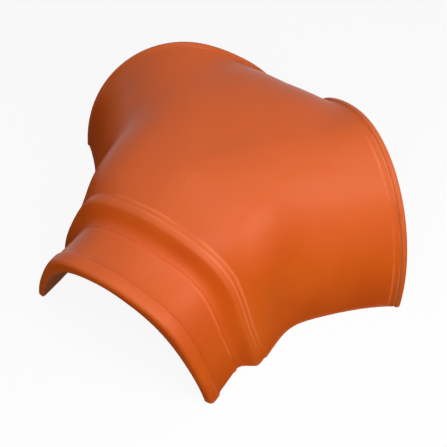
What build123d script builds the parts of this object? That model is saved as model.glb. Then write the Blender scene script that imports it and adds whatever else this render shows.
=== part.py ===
from build123d import *
import math
import os

import numpy as np

# Three-way ridge tile, millimetres, +Z up
# The origin is the middle of the footprint, on the ground plane
# Arm 0 runs along +X and ends in the stepped collar
# Arms 1 and 2 lie either side of -X and end in bells
# The skin is where one blended function of arches and a hub dome is 1

# Plan, from the point where the three arm axes meet
BELL_ARM_ANGLE = 143.5
SHOULDER_REACH = 49.0
COLLAR_REACH = 125.0

# Room between the lips of the two bells, where they come closest
BELLS_GAP = 30.5

# Wall of fired clay
WALL = 9.0

# Arch of the collar arm behind its shoulder, and how far below the ground its centre lies
COLLAR_ARM_HALF_WIDTH = 135.0
COLLAR_ARM_RISE = 139.5
COLLAR_ARM_SINK = 65.5

# Arch of the bell arms at their necks, and how far below the ground its centre lies
NECK_HALF_WIDTH = 109.0
NECK_RISE = 151.5
NECK_SINK = 21.5

# What the flare of a bell adds to its neck
FLARE_WIDTH = 21.5
FLARE_RISE = 6.0
FLARE_LENGTH = 52.0

# Raised lip round each bell
BEAD_WIDTH = 8.0
BEAD_HEIGHT = 2.2
BEAD_EASE = 2.2

# Shoulder ledge, and the ogee from it down to the collar
LEDGE_WIDTH = 9.5
LEDGE_DROP = 1.4
LEDGE_EASE = 2.5
STEP_LENGTH = 18.5
STEP_WIDTH_DROP = 19.0
STEP_RISE_DROP = 25.0
STEP_CORNER = 3.0

# Slim rib at the root of the collar
RIB_WIDTH = 6.0
RIB_HEIGHT = 0.8
RIB_EASE = 1.2

# Raised lip of the collar
LIP_WIDTH = 16.0
LIP_HEIGHT = 1.8
LIP_EASE = 2.5

# Round on the outside of the collar's mouth, and eased edge inside every mouth
MOUTH_ROUND = 6.0
MOUTH_EASE = 2.0

# Hub dome, which also fills the notch between the bells
DOME_HALF_WIDTH = 126.0
DOME_RISE = 158.0
DOME_CENTRE_BACK = 75.0
DOME_SQUARENESS = 3.4
NOTCH_GAP = 23.0

# How tightly the arms run into each other: more is a sharper valley and a lower crown
VALLEY_SHARPNESS = 11.0

# How far an arm's arch carries on behind the crown before it fades out
TAIL_LENGTH = 69.0
TAIL_SOFTNESS = 23.0

# Sampling of the free-form skins, and straight bands that follow a curved profile
STATIONS = 10
RIB_POINTS = 8
STATION_CROWDING = 0.5
INNER_BANDS = 8
OGEE_BANDS = 5
ROUND_BANDS = 3

ANGLE = math.radians(BELL_ARM_ANGLE)
ARM_AZIMUTH = (0.0, ANGLE, -ANGLE)
UP = np.array([0.0, 0.0, 1.0])

# The bells reach as far out as leaves their gap open
BELL_HALF_WIDTH = NECK_HALF_WIDTH + FLARE_WIDTH + BEAD_HEIGHT
BELL_REACH = BELLS_GAP / (2 * math.sin(ANGLE)) - BELL_HALF_WIDTH / math.tan(ANGLE)


def half_width(arm, x, inset):
    """Half-width of an arm's arch on the ground, at a distance out from the crown."""
    if arm == 0:
        return COLLAR_ARM_HALF_WIDTH - inset + 0 * x
    return NECK_HALF_WIDTH - inset + FLARE_WIDTH * np.exp((x - BELL_REACH) / FLARE_LENGTH)


def rise(arm, x, inset):
    """Height of an arm's arch, at a distance out from the crown."""
    if arm == 0:
        return COLLAR_ARM_RISE - inset + 0 * x
    return NECK_RISE - inset + FLARE_RISE * np.exp((x - BELL_REACH) / FLARE_LENGTH)


def arm_value(arm, x, y, z, inset):
    """Value of one arm at points in its own axes: 1 on its elliptic arch, more past its tail."""
    sink = COLLAR_ARM_SINK if arm == 0 else NECK_SINK
    height = rise(arm, x, inset) + sink
    outer_height = height + inset
    spread = (half_width(arm, x, inset) + inset) / np.sqrt(1 - (sink / outer_height) ** 2) - inset
    tail = (np.hypot(x, TAIL_SOFTNESS) - x) / 2
    return (y / spread) ** 2 + ((z + sink) / height) ** 2 + (tail / TAIL_LENGTH) ** 2


def dome_value(x, y, z, inset):
    """Value of the hub dome: 1 on its squared-off ellipsoid."""
    mouths_meet = BELL_REACH / math.cos(math.pi - ANGLE)
    half_length = mouths_meet - NOTCH_GAP - DOME_CENTRE_BACK
    return (
        np.abs((x + DOME_CENTRE_BACK) / (half_length - inset)) ** DOME_SQUARENESS
        + np.abs(y / (DOME_HALF_WIDTH - inset)) ** DOME_SQUARENESS
        + np.abs(z / (DOME_RISE - inset)) ** DOME_SQUARENESS
    )


def fullness(points, inset):
    """Blended value of the whole tile: under 1 inside it, 1 on its skin."""
    x, y, z = np.moveaxis(points, -1, 0)
    total = dome_value(x, y, z, inset) ** -VALLEY_SHARPNESS
    for arm, azimuth in enumerate(ARM_AZIMUTH):
        ahead = x * math.cos(azimuth) + y * math.sin(azimuth)
        aside = y * math.cos(azimuth) - x * math.sin(azimuth)
        total += arm_value(arm, ahead, aside, z, inset) ** -VALLEY_SHARPNESS
    return total ** (-1 / VALLEY_SHARPNESS)


def on_skin(starts, rays, inset):
    """Points where rays from the arms' axes leave the skin, by secant steps."""
    near = np.full(rays.shape[:-1], 0.8)
    far = np.full(rays.shape[:-1], 0.95)
    near_value = fullness(starts + near[..., None] * rays, inset) - 1
    for _ in range(30):
        far_value = fullness(starts + far[..., None] * rays, inset) - 1
        change = far_value - near_value
        settled = np.abs(change) < 1e-15
        step = far_value * (far - near) / np.where(settled, 1.0, change)
        near, near_value = far, far_value
        far = far - np.where(settled, 0.0, np.clip(step, -0.2, 0.2))
    return starts + far[..., None] * rays


def control_matrix(count):
    """Sample parameters, and the matrix that turns samples into Bezier poles."""
    nodes = (1 - np.cos(np.pi * np.arange(count) / (count - 1))) / 2
    degree = count - 1
    basis = [[math.comb(degree, j) * t**j * (1 - t) ** (degree - j) for j in range(count)] for t in nodes]
    return nodes, np.linalg.inv(np.array(basis))


STATION_NODES, STATION_MATRIX = control_matrix(STATIONS)
RIB_NODES, RIB_MATRIX = control_matrix(RIB_POINTS)


def arm_axes(arm, side):
    """Outward and sideways unit vectors of one half of an arm."""
    azimuth = ARM_AZIMUTH[arm]
    out = np.array([math.cos(azimuth), math.sin(azimuth), 0.0])
    across = np.array([-math.sin(azimuth), math.cos(azimuth), 0.0]) * side
    return out, across


def neighbour(arm, side):
    """The arm next to an arm on one side, and the side it faces back with."""
    return (arm + side) % 3, -side


def valley_foot(arm, side, inset):
    """Point of the skin on the ground, midway between two neighbouring arms."""
    rows, widths = [], []
    for each, facing in sorted([(arm, side), neighbour(arm, side)]):
        rows.append(arm_axes(each, facing)[1][:2])
        widths.append(half_width(each, 0.0, inset))
    meeting = np.append(np.linalg.solve(np.array(rows), np.array(widths)), 0.0)
    return on_skin(np.zeros(3), meeting, inset)


def skin_ribs(arm, side, reach, inset, stations):
    """Poles of ribs fanned from the valley out to the reach, on one side of an arm's crest."""
    out, across = arm_axes(arm, side)
    valley = valley_foot(arm, side, inset)
    axis_end = reach * out
    mouth = on_skin(axis_end, half_width(arm, reach, inset) * across, inset)
    along = (np.sinh(STATION_CROWDING * stations) / math.sinh(STATION_CROWDING))[:, None, None]
    turns = (math.pi / 2 * (1 - RIB_NODES))[None, :, None]
    starts = along * axis_end + 0 * turns
    feet = valley + along * (mouth - valley)
    rays = np.cos(turns) * (feet - starts) + np.sin(turns) * NECK_RISE * UP
    samples = on_skin(starts, rays, inset)
    samples[:, -1, 2] = 0.0
    samples[:, 0] -= np.outer(samples[:, 0] @ across, across)
    samples[-1] += np.outer(reach - samples[-1] @ out, out)
    return np.einsum("bj,ijc->ibc", RIB_MATRIX, samples)


def outer_skin(arm, side, reach):
    """The one smooth net of a half arm's outside."""
    ribs = skin_ribs(arm, side, reach, 0.0, STATION_NODES)
    return [np.einsum("ai,ibc->abc", STATION_MATRIX, ribs)]


def inner_skin(arm, side, reach):
    """Ruled nets from rib to rib, a wall's thickness inside the outer skin."""
    ribs = skin_ribs(arm, side, reach, WALL, np.linspace(0.0, 1.0, INNER_BANDS + 1))
    return [ribs[band : band + 2] for band in range(INNER_BANDS)]


def grown(edge, arm, side, ahead, wider, higher):
    """The poles of a mouth edge, carried along the arm and grown as an arch."""
    out, across = arm_axes(arm, side)
    widths = edge @ across / (edge[-1] @ across)
    heights = edge[:, 2] / edge[0, 2]
    return edge + ahead * out + wider * np.outer(widths, across) + higher * np.outer(heights, UP)


def straight_bands(edge, arm, side, profile):
    """Nets of the straight bands that a mouth edge sweeps out along (ahead, wider, higher) steps."""
    rows = [grown(edge, arm, side, *step) for step in profile]
    return [np.array(pair) for pair in zip(rows, rows[1:])]


def along_bezier(poles, count):
    """Points spaced along a Bezier profile, both ends included."""
    degree = len(poles) - 1
    shares = np.linspace(0.0, 1.0, count + 1)
    weights = [math.comb(degree, j) * shares**j * (1 - shares) ** (degree - j) for j in range(degree + 1)]
    return [tuple(point) for point in np.transpose(weights) @ np.array(poles)]


def rounded_mouth(end, wider, higher):
    """Points of a quarter round that turns an outside into its mouth's plane."""
    turns = [math.pi / 2 * band / ROUND_BANDS for band in range(ROUND_BANDS + 1)]
    return [
        (
            end - MOUTH_ROUND * (1 - math.sin(turn)),
            wider - MOUTH_ROUND * (1 - math.cos(turn)),
            higher - MOUTH_ROUND * (1 - math.cos(turn)),
        )
        for turn in turns
    ]


def eased_mouth(end, wider, higher):
    """Points of the eased edge where an inside meets its mouth's plane."""
    return [(end - MOUTH_EASE, wider, higher), (end, wider + MOUTH_EASE, higher + MOUTH_EASE)]


def collar_outside():
    """Profile from the shoulder down the ogee, over the root rib and the lip to the mouth."""
    foot = LEDGE_WIDTH + STEP_LENGTH
    end = COLLAR_REACH - SHOULDER_REACH
    bend = LEDGE_WIDTH + STEP_LENGTH / 2
    share = 1 - STEP_CORNER / STEP_RISE_DROP
    ogee = [
        (LEDGE_WIDTH, -LEDGE_DROP, -LEDGE_DROP),
        (bend, -LEDGE_DROP, -LEDGE_DROP),
        (bend, -share * STEP_WIDTH_DROP, -share * STEP_RISE_DROP),
        (foot, -STEP_WIDTH_DROP, -STEP_RISE_DROP),
    ]
    rib = [
        (foot + RIB_EASE, RIB_HEIGHT - STEP_WIDTH_DROP, RIB_HEIGHT - STEP_RISE_DROP),
        (foot + RIB_WIDTH - RIB_EASE, RIB_HEIGHT - STEP_WIDTH_DROP, RIB_HEIGHT - STEP_RISE_DROP),
        (foot + RIB_WIDTH, -STEP_WIDTH_DROP, -STEP_RISE_DROP),
    ]
    lip_wider = LIP_HEIGHT - STEP_WIDTH_DROP
    lip_higher = LIP_HEIGHT - STEP_RISE_DROP
    lip = [
        (end - LIP_WIDTH, -STEP_WIDTH_DROP, -STEP_RISE_DROP),
        (end - LIP_WIDTH + LIP_EASE, lip_wider, lip_higher),
    ]
    shoulder = [(0, 0, 0), (LEDGE_EASE, -LEDGE_DROP, -LEDGE_DROP)]
    return shoulder + along_bezier(ogee, OGEE_BANDS) + rib + lip + rounded_mouth(end, lip_wider, lip_higher)


def collar_inside(reach):
    """Profile of the inner ogee and the collar's inner wall, from a reach out to the mouth."""
    bend = STEP_LENGTH / 2
    drop = (-STEP_WIDTH_DROP, -STEP_RISE_DROP)
    ogee = [(0, 0, 0), (bend, 0, 0), (bend, *drop), (STEP_LENGTH, *drop)]
    return along_bezier(ogee, OGEE_BANDS) + eased_mouth(COLLAR_REACH - reach, *drop)


def bell_outside():
    """Profile of the raised lip, which starts and ends with an eased edge."""
    return [
        (0, 0, 0),
        (BEAD_EASE, BEAD_HEIGHT, BEAD_HEIGHT),
        (BEAD_WIDTH - BEAD_EASE, BEAD_HEIGHT, BEAD_HEIGHT),
        (BEAD_WIDTH, 0, 0),
    ]


def arm_parts(arm):
    """For an arm's outside and inside: the skin's maker, its reach and the profile beyond it."""
    if arm == 0:
        slope = math.atan2(2 * STEP_RISE_DROP, STEP_LENGTH)
        inner_reach = SHOULDER_REACH + LEDGE_WIDTH - WALL * math.tan(slope / 2)
        return [
            (outer_skin, SHOULDER_REACH, collar_outside()),
            (inner_skin, inner_reach, collar_inside(inner_reach)),
        ]
    reach = BELL_REACH - BEAD_WIDTH
    return [
        (outer_skin, reach, bell_outside()),
        (inner_skin, reach, [(0, 0, 0)] + eased_mouth(BEAD_WIDTH, 0, 0)),
    ]


def skin(poles):
    """One face from its net of poles."""
    return Face.make_bezier_surface([[Vector(*map(float, pole)) for pole in row] for row in poles])


def curve(poles):
    """Edge from its poles."""
    return Edge.make_bezier(*[Vector(*map(float, pole)) for pole in poles])


def half_arm_faces(arm, side):
    """Skins and bands of one half of an arm, with the outlines of its mouth and foot."""
    faces, rims, feet = [], [], []
    for make_skin, reach, profile in arm_parts(arm):
        nets = make_skin(arm, side, reach)
        nets += straight_bands(nets[-1][-1], arm, side, profile)
        faces += [skin(net) for net in nets]
        rims.append(nets[-1][-1])
        feet.append([net[:, -1] for net in nets])
    return faces, rims, feet


def build_tile():
    """The whole tile as one solid."""
    faces = []
    halves = {}
    for arm in range(3):
        for side in (1, -1):
            made, rims, feet = half_arm_faces(arm, side)
            faces += made
            halves[arm, side] = (rims, feet)
    for arm in range(3):
        outline = []
        for side in (1, -1):
            outer_rim, inner_rim = halves[arm, side][0]
            outline += [curve(outer_rim), curve(inner_rim), curve([outer_rim[-1], inner_rim[-1]])]
        faces.append(Face(Wire(outline)))
    for first, second in ((0, 1), (1, 2), (2, 0)):
        outline = []
        for arm, side in ((first, 1), (second, -1)):
            rims, feet = halves[arm, side]
            outline += [curve(foot) for chain in feet for foot in chain]
            outline.append(curve([rims[0][-1], rims[1][-1]]))
        faces.append(Face(Wire(outline)))
    return Solid(Shell(faces))


os.makedirs("parts", exist_ok=True)
tile = build_tile()
middle = tile.bounding_box().center()
tile = Pos(-middle.X, -middle.Y, 0) * tile
export_step(tile, "parts/ridge_tile.step")
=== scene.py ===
"""Looks of a three-way ridge tile of fired clay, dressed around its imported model."""

import logging
import math
from dataclasses import dataclass, field
from enum import Enum
from typing import Any, Sequence

import bpy
from mathutils import Matrix, Vector


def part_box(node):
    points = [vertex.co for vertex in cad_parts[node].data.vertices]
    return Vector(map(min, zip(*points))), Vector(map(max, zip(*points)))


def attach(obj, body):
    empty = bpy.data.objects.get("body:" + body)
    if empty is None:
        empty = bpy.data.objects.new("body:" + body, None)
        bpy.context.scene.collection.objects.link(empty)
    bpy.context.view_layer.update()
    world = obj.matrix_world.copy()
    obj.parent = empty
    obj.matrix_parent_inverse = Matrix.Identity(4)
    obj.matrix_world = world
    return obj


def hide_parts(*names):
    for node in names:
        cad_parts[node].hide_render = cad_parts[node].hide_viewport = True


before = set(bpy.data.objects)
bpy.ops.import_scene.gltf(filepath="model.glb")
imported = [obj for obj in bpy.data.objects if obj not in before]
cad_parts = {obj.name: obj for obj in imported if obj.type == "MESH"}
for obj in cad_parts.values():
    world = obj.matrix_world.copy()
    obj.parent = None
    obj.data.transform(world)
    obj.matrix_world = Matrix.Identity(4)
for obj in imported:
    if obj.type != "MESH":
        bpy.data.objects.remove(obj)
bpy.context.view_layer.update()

LOG = logging.getLogger("ridge_tile")
MM = 0.001
TILE_NODE = "ridge_tile"
WHITE = (1.0, 1.0, 1.0, 1.0)

COLLAR_REACH = 125.0 * MM
BELL_REACH = 205.0 * MM
BELL_ARM_ANGLE = 143.5
ARM_ANGLES = (0.0, BELL_ARM_ANGLE, -BELL_ARM_ANGLE)

# A Mix node's colour sockets share their names with its other sockets, so they go by place.
MIX_AMOUNT, MIX_UNDER, MIX_OVER = 0, 6, 7
MIX_RESULT = 2

Colour = tuple[float, float, float]
Stops = tuple[tuple[float, Any], ...]


def hub() -> Vector:
    """Point on the ground where the axes of the three arms meet.

    Returns:
        The point.
    """
    return Vector((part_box(TILE_NODE)[1].x - COLLAR_REACH, 0.0, 0.0))


def direction(azimuth: float, elevation: float) -> Vector:
    """Unit vector from the origin towards a place around it.

    Args:
        azimuth: Angle about the vertical from X, in degrees.
        elevation: Angle above the ground, in degrees.

    Returns:
        The vector.
    """
    turn, lift = math.radians(azimuth), math.radians(elevation)
    return Vector((math.cos(lift) * math.cos(turn), math.cos(lift) * math.sin(turn), math.sin(lift)))


def eased(share: float) -> float:
    """Smooth step from 0 to 1.

    Args:
        share: How far along the step is; anything past its ends counts as the end.

    Returns:
        The eased share.
    """
    share = min(max(share, 0.0), 1.0)
    return share * share * (3 - 2 * share)


def opaque(colour: Any) -> Any:
    """Give a written colour its alpha.

    Args:
        colour: Three numbers, or a value, which stays as it is.

    Returns:
        The colour with an alpha of 1, or the value.
    """
    return (*colour, 1.0) if isinstance(colour, tuple) else colour


class Ray(Enum):
    """The rays that are shown a white background, by their output on a Light Path node."""

    CAMERA = "Is Camera Ray"
    GLOSSY = "Is Glossy Ray"
    TRANSMISSION = "Is Transmission Ray"


class Value:
    """A shader socket that takes part in Python expressions."""

    def __init__(self, shader: "Shader", socket: bpy.types.NodeSocket) -> None:
        """Keep the socket and the shader that it belongs to.

        Args:
            shader: The shader.
            socket: The socket, an output.
        """
        self.shader = shader
        self.socket = socket

    def _math(self, operation: str, first: Any, second: Any) -> "Value":
        """Add one Math node.

        Args:
            operation: Name of the operation.
            first: Value or number for its first socket.
            second: Value or number for its second socket.

        Returns:
            The node's result.
        """
        return self.shader.node("ShaderNodeMath", {"operation": operation}, {0: first, 1: second})

    def __add__(self, other: Any) -> "Value":
        """Sum of this value and another."""
        return self._math("ADD", self, other)

    def __radd__(self, other: Any) -> "Value":
        """Sum of a number and this value."""
        return self._math("ADD", other, self)

    def __sub__(self, other: Any) -> "Value":
        """This value less another."""
        return self._math("SUBTRACT", self, other)

    def __rsub__(self, other: Any) -> "Value":
        """A number less this value."""
        return self._math("SUBTRACT", other, self)

    def __mul__(self, other: Any) -> "Value":
        """Product of this value and another."""
        return self._math("MULTIPLY", self, other)

    def __rmul__(self, other: Any) -> "Value":
        """Product of a number and this value."""
        return self._math("MULTIPLY", other, self)


@dataclass(frozen=True)
class Grain:
    """A fractal noise, given by its cycles in a metre and its octaves."""

    scale: float
    detail: float


class Shader:
    """The node tree of a material or of the world, built by calls that return values."""

    def __init__(self, owner: bpy.types.Material | bpy.types.World) -> None:
        """Start an empty tree.

        Args:
            owner: The material or the world.
        """
        self.owner = owner
        owner.use_nodes = True
        self.tree = owner.node_tree
        self.tree.nodes.clear()
        kind = "World" if isinstance(owner, bpy.types.World) else "Material"
        self.output = self.tree.nodes.new("ShaderNodeOutput" + kind)

    def node(
        self, kind: str, settings: dict[str, Any], sockets: dict[Any, Any], out: Any = 0
    ) -> Value:
        """Add a node.

        Args:
            kind: Type of the node.
            settings: Properties that are set before its sockets.
            sockets: Value, number or colour for each input, by name or place.
            out: Name or place of the output that is wanted.

        Returns:
            The wanted output.
        """
        made = self.tree.nodes.new(kind)
        for key, value in settings.items():
            setattr(made, key, value)
        for key, value in sockets.items():
            if isinstance(value, Value):
                self.tree.links.new(value.socket, made.inputs[key])
            else:
                made.inputs[key].default_value = value
        return Value(self, made.outputs[out])

    def place(self, scale: Sequence[float] = (1.0, 1.0, 1.0), turn: float = 0.0) -> Value:
        """Object coordinates from the hub, turned back about the vertical, then scaled.

        Args:
            scale: Scale along each axis, after the turn.
            turn: Direction that becomes X, in degrees.

        Returns:
            The mapped coordinates.
        """
        coords = {0: self.node("ShaderNodeTexCoord", {}, {}, "Object"), 1: tuple(hub())}
        shifted = self.node("ShaderNodeVectorMath", {"operation": "SUBTRACT"}, coords)
        turned = {"Vector": shifted, "Rotation": (0.0, 0.0, math.radians(-turn))}
        sockets = {0: self.node("ShaderNodeMapping", {}, turned), 1: tuple(scale)}
        return self.node("ShaderNodeVectorMath", {"operation": "MULTIPLY"}, sockets)

    def normal(self) -> Value:
        """Normal of the face in the object's own axes.

        Returns:
            The normal.
        """
        return self.node("ShaderNodeTexCoord", {}, {}, "Normal")

    def part(self, vector: Value, axis: str) -> Value:
        """One component of a vector.

        Args:
            vector: The vector.
            axis: X, Y or Z.

        Returns:
            The component.
        """
        return self.node("ShaderNodeSeparateXYZ", {}, {0: vector}, axis)

    def noise(self, place: Value, grain: Grain) -> Value:
        """Fractal noise, from 0 to 1.

        Args:
            place: Coordinates that it reads.
            grain: Its scale and detail.

        Returns:
            The noise.
        """
        sockets = {"Vector": place, "Scale": grain.scale, "Detail": grain.detail}
        return self.node("ShaderNodeTexNoise", {}, sockets)

    def ramp(self, value: Value, *stops: tuple[float, Any]) -> Value:
        """Colour or grey that a value picks from a ramp.

        Args:
            value: Place on the ramp, from 0 to 1.
            stops: Pairs of place and colour or grey.

        Returns:
            The colour.
        """
        picked = self.node("ShaderNodeValToRGB", {}, {0: value})
        elements = picked.socket.node.color_ramp.elements
        for index, (place, colour) in enumerate(stops):
            element = elements[index] if index < len(elements) else elements.new(place)
            element.position = place
            element.color = opaque(colour if isinstance(colour, tuple) else (colour, colour, colour))
        return picked

    def fade(self, length: Value, low: float, high: float, *stops: tuple[float, float]) -> Value:
        """Grey that a length picks from stops that are lengths too.

        Args:
            length: The length.
            low: Length where the ramp starts.
            high: Length where it ends.
            stops: Pairs of length and grey.

        Returns:
            The grey.
        """
        shares = [((reach - low) / (high - low), grey) for reach, grey in stops]
        return self.ramp((length - low) * (1.0 / (high - low)), *shares)

    def layer(self, amount: Any, under: Any, over: Any) -> Value:
        """One colour laid over another.

        Args:
            amount: How much of the upper colour shows.
            under: Lower colour.
            over: Upper colour.

        Returns:
            The combined colour.
        """
        sockets = {MIX_AMOUNT: amount, MIX_UNDER: opaque(under), MIX_OVER: opaque(over)}
        return self.node("ShaderNodeMix", {"data_type": "RGBA"}, sockets, MIX_RESULT)

    def background_rays(self) -> Value:
        """1 for the rays that are shown a white background, 0 for those that carry light.

        Returns:
            The mask.
        """
        masks = [self.node("ShaderNodeLightPath", {}, {}, ray.value) for ray in Ray]
        camera, glossy, transmission = masks
        return camera + glossy + transmission

    def finish(self, surface: Value) -> bpy.types.Material | bpy.types.World:
        """Send a surface to the output.

        Args:
            surface: The shader result.

        Returns:
            The finished material or world.
        """
        self.tree.links.new(surface.socket, self.output.inputs["Surface"])
        return self.owner


@dataclass(frozen=True)
class GlazedClay:
    """Satin orange engobe outside, bare fired clay inside.

    Stops whose names end in "normal" or "edge" are read by the upward part of the normal or by
    the pointiness of the surface; lengths run from the hub or, for the mouths, from their plane.
    """

    body: Colour = (0.690, 0.104, 0.006)
    redder: Colour = (0.640, 0.086, 0.005)
    paler: Colour = (0.730, 0.124, 0.009)
    # painted sheen: a paler, pinker colour on upward faces in place of reflected light from above
    painted_top_sheen: Colour = (0.700, 0.132, 0.036)
    # darker colour in concave hollows, where the pointiness is low
    darker_hollow: Colour = (0.480, 0.075, 0.008)
    # paler colour on convex edges and slim lines: partly edge wear, partly painted highlight
    wear_and_highlight: Colour = (0.880, 0.230, 0.085)
    speck: Colour = (0.420, 0.075, 0.018)
    bare: Colour = (0.560, 0.150, 0.045)
    bare_dark: Colour = (0.440, 0.105, 0.030)

    body_clouds: Grain = Grain(9.0, 3.0)
    painted_sheen_clouds: Grain = Grain(14.0, 4.0)
    wear_and_highlight_clouds: Grain = Grain(40.0, 4.0)
    satin_clouds: Grain = Grain(26.0, 4.0)
    bare_clouds: Grain = Grain(30.0, 4.0)
    highlight_patches: Grain = Grain(14.0, 2.0)
    specks: Grain = Grain(420.0, 2.0)
    waves: Grain = Grain(60.0, 2.0)
    skin: Grain = Grain(900.0, 2.0)
    wiping: Grain = Grain(330.0, 2.0)
    bare_grain: Grain = Grain(240.0, 4.0)

    cloud_places: tuple[float, float, float] = (0.35, 0.52, 0.70)
    # painted sheen: how much of it shows, by the upward part of the normal
    painted_sheen_normal: Stops = ((0.35, 0.0), (0.85, 1.0))
    flank_normal: Stops = ((0.42, 1.0), (0.72, 0.0))
    hollow_edge: Stops = ((0.42, 0.45), (0.495, 0.0))
    # convex edges by pointiness: partly edge wear, partly painted highlight
    wear_and_highlight_edge: Stops = ((0.512, 0.0), (0.56, 0.9))
    speck_stops: Stops = ((0.62, 0.0), (0.75, 0.22))
    patch_stops: Stops = ((0.46, 0.0), (0.58, 1.0))
    painted_sheen_least: float = 0.70
    painted_sheen_spread: float = 0.45
    wear_and_highlight_least: float = 0.35

    satin: float = 0.30
    satin_spread: float = 0.10
    flank_matt: float = 0.60
    bare_roughness: float = 0.82
    sheen_level: float = 0.10

    relief_depth: float = 0.6 * MM
    relief_strength: float = 0.12
    wave_height: float = 0.55
    skin_height: float = 0.15
    wiping_height: float = 0.30
    bare_height: float = 0.8
    wiping_stretch: tuple[float, float, float] = (1.0, 0.04, 0.04)

    facing_span: float = 50.0 * MM
    facing_stops: Stops = ((-3.0 * MM, 1.0), (0.0, 0.0))
    mouth_span: float = 50.0 * MM
    mouth_stops: Stops = ((-35.0 * MM, 0.0), (-12.0 * MM, 1.0))

    # slim lines of painted highlight, by their distance from the hub along each arm
    collar_highlight_lines: tuple[float, ...] = (52.0 * MM, 57.5 * MM, 80.0 * MM, 108.5 * MM, 114.0 * MM)
    bell_highlight_lines: tuple[float, ...] = (190.5 * MM, 197.0 * MM)
    line_width: float = 1.3 * MM
    line_span: float = 260.0 * MM
    highlight_tint: float = 0.8
    crest_setback: float = 6.5 * MM
    crest_span: float = 200.0 * MM
    crest_stops: Stops = ((50.0 * MM, 0.0), (106.0 * MM, 1.0))

    def material(self) -> bpy.types.Material:
        """Build the finish.

        Returns:
            The material.
        """
        shader = Shader(bpy.data.materials.new("orange_engobe"))
        place = shader.place()
        inside = self._inside(shader, place)
        highlight_lines = self._highlight_lines(shader, place, inside)
        outer = self._engobe(shader, place, highlight_lines)
        inner = shader.layer(shader.noise(place, self.bare_clouds), self.bare_dark, self.bare)
        matt = shader.ramp(shader.part(shader.normal(), "Z"), *self.flank_normal)
        satin = self.satin + self.satin_spread * shader.noise(place, self.satin_clouds)
        satin = satin + self.flank_matt * matt
        surface = shader.node(
            "ShaderNodeBsdfPrincipled",
            {"distribution": "GGX"},
            {
                "Base Color": shader.layer(inside, outer, inner),
                "Roughness": satin + inside * (self.bare_roughness - satin),
                "Specular IOR Level": self.sheen_level,
                "Normal": self._relief(shader, place, inside, highlight_lines),
            },
        )
        return shader.finish(surface)

    def _inside(self, shader: Shader, place: Value) -> Value:
        """Mask of the faces that look back towards the hub's foot: the bare inside.

        Args:
            shader: The material's nodes.
            place: Coordinates from the hub.

        Returns:
            1 inside, 0 outside.
        """
        sockets = {0: place, 1: shader.normal()}
        facing = shader.node("ShaderNodeVectorMath", {"operation": "DOT_PRODUCT"}, sockets, "Value")
        return shader.fade(facing, -self.facing_span, self.facing_span, *self.facing_stops)

    def _highlight_lines(self, shader: Shader, place: Value, inside: Value) -> Value:
        """Mask of the slim broken lines of painted highlight that run round the shoulder, the collar
        and the bells.

        Args:
            shader: The material's nodes.
            place: Coordinates from the hub.
            inside: Mask of the bare inside.

        Returns:
            1 on a line, 0 off it.
        """
        crest = shader.fade(shader.part(place, "Z"), 0.0, self.crest_span, *self.crest_stops)
        masks = []
        for angle, highlight_lines in zip(ARM_ANGLES, (self.collar_highlight_lines, self.bell_highlight_lines, self.bell_highlight_lines)):
            along = shader.part(shader.place(turn=angle), "X")
            if highlight_lines is self.collar_highlight_lines:
                along = along + self.crest_setback * crest
            stops = []
            for line in highlight_lines:
                stops += [(line - self.line_width, 0.0), (line, 1.0), (line + self.line_width, 0.0)]
            masks.append(shader.fade(along, 0.0, self.line_span, *stops))
        collar, left, right = masks
        patchy = shader.ramp(shader.noise(place, self.highlight_patches), *self.patch_stops)
        return (collar + left + right) * (1.0 - inside) * patchy

    def _engobe(self, shader: Shader, place: Value, highlight_lines: Value) -> Value:
        """Colour of the coat: clouds, specks, painted sheen on top, darker hollows, edges partly
        worn and partly painted highlight, painted highlight lines.

        Args:
            shader: The material's nodes.
            place: Coordinates from the hub.
            highlight_lines: Mask of the slim lines.

        Returns:
            The colour.
        """
        cloud = shader.noise(place, self.body_clouds)
        colour = shader.ramp(cloud, *zip(self.cloud_places, (self.redder, self.body, self.paler)))
        # Painted sheen: upward faces are paled and pinked in place of reflected light from above.
        painted_top_sheen = shader.ramp(shader.part(shader.normal(), "Z"), *self.painted_sheen_normal)
        painted_top_sheen = painted_top_sheen * (self.painted_sheen_least + self.painted_sheen_spread * shader.noise(place, self.painted_sheen_clouds))
        colour = shader.layer(painted_top_sheen, colour, self.painted_top_sheen)
        point = shader.node("ShaderNodeNewGeometry", {}, {}, "Pointiness")
        # Darker in concave hollows, where the pointiness is low.
        colour = shader.layer(shader.ramp(point, *self.hollow_edge), colour, self.darker_hollow)
        # Convex edges turn paler: partly edge wear, partly painted highlight.
        patches = shader.noise(place, self.wear_and_highlight_clouds)
        edge_wear_and_highlight = shader.ramp(point, *self.wear_and_highlight_edge)
        edge_wear_and_highlight = edge_wear_and_highlight * (self.wear_and_highlight_least + (1.0 - self.wear_and_highlight_least) * patches)
        colour = shader.layer(edge_wear_and_highlight, colour, self.wear_and_highlight)
        # Painted highlight: the slim lines are paled with the same colour as the edges.
        colour = shader.layer(self.highlight_tint * highlight_lines, colour, self.wear_and_highlight)
        specks = shader.ramp(shader.noise(place, self.specks), *self.speck_stops)
        return shader.layer(specks, colour, self.speck)

    def _relief(self, shader: Shader, place: Value, inside: Value, highlight_lines: Value) -> Value:
        """Fine relief: slow waves, a fine skin, wiping lines at the mouths, a coarser inside.

        Args:
            shader: The material's nodes.
            place: Coordinates from the hub.
            inside: Mask of the bare inside.
            highlight_lines: Mask of the slim lines.

        Returns:
            The normal.
        """
        waves = self.wave_height * shader.noise(place, self.waves)
        height = waves + self.skin_height * shader.noise(place, self.skin)
        for angle, reach in zip(ARM_ANGLES, (COLLAR_REACH, BELL_REACH, BELL_REACH)):
            along = shader.part(shader.place(turn=angle), "X")
            near = shader.fade(along - reach, -self.mouth_span, self.mouth_span, *self.mouth_stops)
            wiping = shader.noise(shader.place(self.wiping_stretch, angle), self.wiping)
            height = height + self.wiping_height * near * wiping
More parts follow.
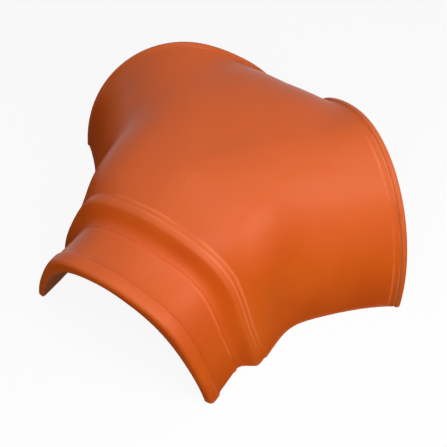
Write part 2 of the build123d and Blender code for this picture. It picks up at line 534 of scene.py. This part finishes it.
        # The slim lines of painted highlight are also raised as bump.
        height = height + self.bare_height * inside * shader.noise(place, self.bare_grain) + highlight_lines
        sockets = {"Strength": self.relief_strength, "Distance": self.relief_depth, "Height": height}
        return shader.node("ShaderNodeBump", {}, sockets)


@dataclass
class RidgeTile:
    """The tile's skin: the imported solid, merged, smoothed, set back at the step and dressed."""

    merge_distance: float = 0.01 * MM
    crisp_angle: float = math.radians(24.0)
    crisp_crease: float = 0.6
    shade_angle: float = math.radians(60.0)
    smooth_levels: int = 1
    setback: float = 7.5 * MM
    setback_from: float = 25.0 * MM
    setback_to: float = 118.0 * MM
    setback_foot: float = 50.0 * MM
    setback_head: float = 105.0 * MM
    cage: tuple[int, int, int] = (14, 2, 8)
    finish: GlazedClay = field(default_factory=GlazedClay)

    def build(self) -> bpy.types.Object:
        """Model the piece and dress it.

        Returns:
            The finished object.
        """
        piece = self._merged_copy()
        self._crease_edges()
        levels = {"levels": self.smooth_levels, "render_levels": self.smooth_levels}
        self._apply(piece, "rounding", "SUBSURF", **levels)
        self._set_step_back(piece)
        bpy.ops.object.shade_smooth_by_angle(angle=self.shade_angle)
        piece.data.materials.clear()
        piece.data.materials.append(self.finish.material())
        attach(piece, "root")
        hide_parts(TILE_NODE)
        return piece

    def _merged_copy(self) -> bpy.types.Object:
        """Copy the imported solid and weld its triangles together.

        Returns:
            The copy, active and selected alone.
        """
        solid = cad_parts[TILE_NODE]
        piece = bpy.data.objects.new("glazed_tile", solid.data.copy())
        bpy.context.scene.collection.objects.link(piece)
        bpy.ops.object.select_all(action="DESELECT")
        piece.select_set(True)
        bpy.context.view_layer.objects.active = piece
        bpy.ops.object.mode_set(mode="EDIT")
        bpy.ops.mesh.select_all(action="SELECT")
        bpy.ops.mesh.remove_doubles(threshold=self.merge_distance)
        bpy.ops.mesh.customdata_custom_splitnormals_clear()
        bpy.ops.object.mode_set(mode="OBJECT")
        return piece

    def _crease_edges(self) -> None:
        """Crease the sharpest edges of the active piece, so that rounding only softens them."""
        bpy.ops.object.mode_set(mode="EDIT")
        bpy.ops.mesh.select_all(action="DESELECT")
        bpy.ops.mesh.select_mode(type="EDGE")
        bpy.ops.mesh.edges_select_sharp(sharpness=self.crisp_angle)
        bpy.ops.transform.edge_crease(value=self.crisp_crease)
        bpy.ops.object.mode_set(mode="OBJECT")

    def _apply(self, piece: bpy.types.Object, name: str, kind: str, **settings: Any) -> None:
        """Add a modifier and apply it.

        Args:
            piece: The object, active.
            name: Name of the modifier.
            kind: Its type.
            settings: Its properties.
        """
        modifier = piece.modifiers.new(name, kind)
        for key, value in settings.items():
            setattr(modifier, key, value)
        bpy.ops.object.modifier_apply(modifier=modifier.name)

    def _set_step_back(self, piece: bpy.types.Object) -> None:
        """Draw the crest of the shoulder and the ogee towards the hub, inside a lattice.

        Args:
            piece: The object, active.
        """
        low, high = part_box(TILE_NODE)
        start = hub().x + self.setback_from
        length = self.setback_to - self.setback_from
        cage = bpy.data.objects.new("step_cage", bpy.data.lattices.new("step_cage"))
        bpy.context.scene.collection.objects.link(cage)
        cage.data.points_u, cage.data.points_v, cage.data.points_w = self.cage
        first, last = cage.data.points[0].co, cage.data.points[-1].co
        size = Vector((length, high.y - low.y, high.z - low.z))
        cage.scale = [size[axis] / (last[axis] - first[axis]) for axis in range(3)]
        cage.location = (start + length / 2, (low.y + high.y) / 2, (low.z + high.z) / 2)
        for point in cage.data.points:
            share = (point.co.x - first.x) / (last.x - first.x)
            height = low.z + size.z * (point.co.z - first.z) / (last.z - first.z)
            climb = eased((height - self.setback_foot) / (self.setback_head - self.setback_foot))
            step = self.setback * math.sin(math.pi * share) ** 2 * climb
            point.co_deform.x -= step / cage.scale.x
        bpy.context.view_layer.update()
        self._apply(piece, "step_back", "LATTICE", object=cage)
        bpy.data.objects.remove(cage)


@dataclass(frozen=True)
class Lamp:
    """A square lamp that hangs around the tile and faces it."""

    name: str
    azimuth: float
    elevation: float
    distance: float
    size: float
    level: float

    def hang(self) -> None:
        """Hang the lamp; at a level of 1 it alone shows a colour that faces it as it is written."""
        towards = direction(self.azimuth, self.elevation)
        light = bpy.data.lights.new(self.name, "AREA")
        light.size = self.size
        light.energy = self.level * (math.pi * self.distance) ** 2
        lamp = bpy.data.objects.new(self.name, light)
        lamp.location = self.distance * towards
        lamp.rotation_euler = towards.to_track_quat("Z", "Y").to_euler()
        bpy.context.scene.collection.objects.link(lamp)


@dataclass
class Studio:
    """Floor, soft light and the camera at the photograph's angle."""

    image_side: float = 447.0
    pixel: float = 1.15 * MM
    hub_pixel: tuple[float, float] = (188.5, 265.3)
    camera_azimuth: float = 32.0
    camera_elevation: float = 51.7
    camera_roll: float = 1.9
    camera_pixels: float = 661.9
    sensor: float = 36.0
    floor_side: float = 8.0
    floor_roughness: float = 0.9
    floor_colour: Colour = (0.90, 0.90, 0.90)
    floor_bounce: Colour = (0.12, 0.11, 0.10)
    floor_glow: float = 0.90
    surround: float = 0.126
    lamps: tuple[Lamp, ...] = (
        Lamp("window_right", azimuth=30.0, elevation=45.0, distance=0.8, size=0.4, level=0.351),
        Lamp("window_left", azimuth=90.0, elevation=45.0, distance=0.8, size=0.4, level=0.327),
        Lamp("ceiling", azimuth=0.0, elevation=90.0, distance=2.0, size=1.2, level=0.24),
    )

    def build(self) -> None:
        """Set the whole studio up."""
        self._camera()
        self._floor()
        self._lights()
        bpy.context.scene.view_settings.view_transform = "Standard"

    def _camera(self) -> None:
        """Stand the camera where the photograph was taken from."""
        back = direction(self.camera_azimuth, self.camera_elevation)
        azimuth, roll = math.radians(self.camera_azimuth), math.radians(self.camera_roll)
        level = Vector((-math.sin(azimuth), math.cos(azimuth), 0.0))
        upright = back.cross(level)
        right = math.cos(roll) * level + math.sin(roll) * upright
        up = math.cos(roll) * upright - math.sin(roll) * level
        middle = self.image_side / 2
        aside = (middle - self.hub_pixel[0]) * right + (self.hub_pixel[1] - middle) * up
        stand = hub() + self.pixel * (aside + self.camera_pixels * back)
        lens = bpy.data.cameras.new("camera")
        lens.sensor_width = self.sensor
        lens.lens = self.sensor * self.camera_pixels / self.image_side
        camera = bpy.data.objects.new("camera", lens)
        bpy.context.scene.collection.objects.link(camera)
        turn = Matrix((right, up, back)).transposed().to_4x4()
        camera.matrix_world = Matrix.Translation(stand) @ turn
        bpy.context.scene.camera = camera

    def _floor(self) -> None:
        """Lay the pale floor, which camera, glossy and transmission rays see as near white."""
        bpy.ops.object.select_all(action="DESELECT")
        bpy.ops.mesh.primitive_plane_add(size=self.floor_side, location=(0.0, 0.0, 0.0))
        floor = bpy.context.active_object
        floor.name = "floor"
        shader = Shader(bpy.data.materials.new("pale_floor"))
        seen = shader.background_rays()
        colour = shader.layer(seen, self.floor_bounce, self.floor_colour)
        matt = {"Base Color": colour, "Roughness": self.floor_roughness, "Specular IOR Level": 0.0}
        surface = shader.node("ShaderNodeBsdfPrincipled", {}, matt)
        glow = shader.node("ShaderNodeEmission", {}, {"Color": WHITE, "Strength": 1.0})
        sockets = {0: self.floor_glow * seen, 1: surface, 2: glow}
        floor.data.materials.append(shader.finish(shader.node("ShaderNodeMixShader", {}, sockets)))

    def _lights(self) -> None:
        """Hang the soft lamps and set the surrounding light."""
        for lamp in self.lamps:
            lamp.hang()
        shader = Shader(bpy.data.worlds.new("surroundings"))
        strength = self.surround + (1.0 - self.surround) * shader.background_rays()
        sky = {"Color": WHITE, "Strength": strength}
        bpy.context.scene.world = shader.finish(shader.node("ShaderNodeBackground", {}, sky))


def main() -> None:
    """Build the studio and the tile and log the tile's face count."""
    logging.basicConfig(level=logging.INFO, format="%(name)s: %(message)s")
    Studio().build()
    piece = RidgeTile().build()
    LOG.info("%s has %d faces", piece.name, len(piece.data.polygons))


if __name__ == "__main__":
    main()
